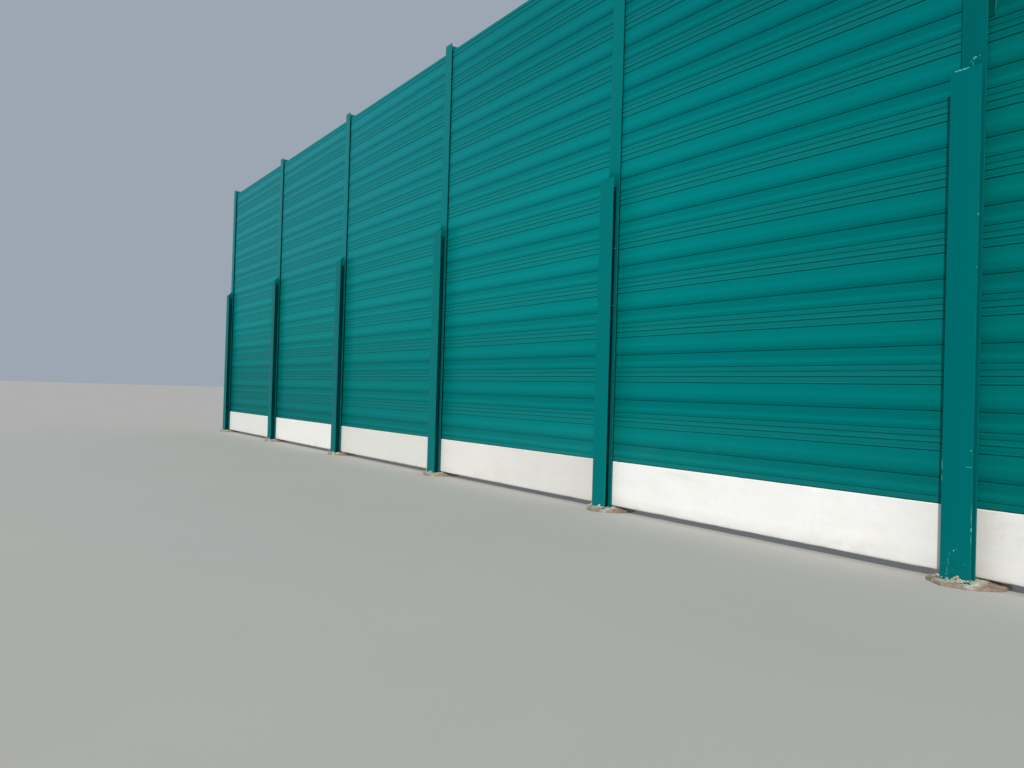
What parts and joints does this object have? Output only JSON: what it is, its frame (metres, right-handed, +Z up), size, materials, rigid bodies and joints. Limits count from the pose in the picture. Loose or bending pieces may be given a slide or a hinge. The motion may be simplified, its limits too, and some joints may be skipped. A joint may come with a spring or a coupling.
{
  "type": "noise barrier section",
  "caption": "Run of noise barrier bays: ribbed steel cassettes stacked between H posts on concrete plinth panels, with T stiffeners on the posts' lower halves.",
  "frame": {"origin": "centre of the middle post's foot, on the flat cut end of the H section at ground level", "axes": "+X along the barrier, to the right as seen from the ribbed front with the T stiffeners; -Y out of that front; +Z up"},
  "size_m": [24.5884, 0.6048, 6.66],
  "materials": {
    "post_paint": "semi-gloss sea-green paint over galvanised steel",
    "stiffener_paint": "semi-gloss sea-green paint, chipped at the edges",
    "cassette_paint": "satin coil-coated sea-green sheet",
    "plinth_concrete": "white painted precast concrete, faintly stained",
    "pile_concrete": "rough cast concrete",
    "seal_rubber": "matt black rubber strip"
  },
  "bodies": {
    "root": {"post_1": "post_paint", "post_2": "post_paint", "post_3": "post_paint", "post_4": "post_paint", "post_5": "post_paint", "post_6": "post_paint", "post_7": "post_paint", "stiffener_1": "stiffener_paint", "stiffener_2": "stiffener_paint", "stiffener_3": "stiffener_paint", "stiffener_4": "stiffener_paint", "stiffener_5": "stiffener_paint", "stiffener_6": "stiffener_paint", "stiffener_7": "stiffener_paint", "pile_head_1": "pile_concrete", "pile_head_2": "pile_concrete", "pile_head_3": "pile_concrete", "pile_head_4": "pile_concrete", "pile_head_5": "pile_concrete", "pile_head_6": "pile_concrete", "pile_head_7": "pile_concrete", "plinth_1": "plinth_concrete", "plinth_2": "plinth_concrete", "plinth_3": "plinth_concrete", "plinth_4": "plinth_concrete", "plinth_5": "plinth_concrete", "plinth_6": "plinth_concrete", "cassette_row_1": "cassette_paint", "cassette_row_2": "cassette_paint", "cassette_row_3": "cassette_paint", "cassette_row_4": "cassette_paint", "cassette_row_5": "cassette_paint", "cassette_row_6": "cassette_paint", "cassette_row_7": "cassette_paint", "cassette_row_8": "cassette_paint", "cassette_row_9": "cassette_paint", "cassette_row_10": "cassette_paint", "cassette_row_11": "cassette_paint", "cassette_row_12": "cassette_paint", "front_seals": "seal_rubber", "rear_seals": "seal_rubber"}
  },
  "joints": []
}
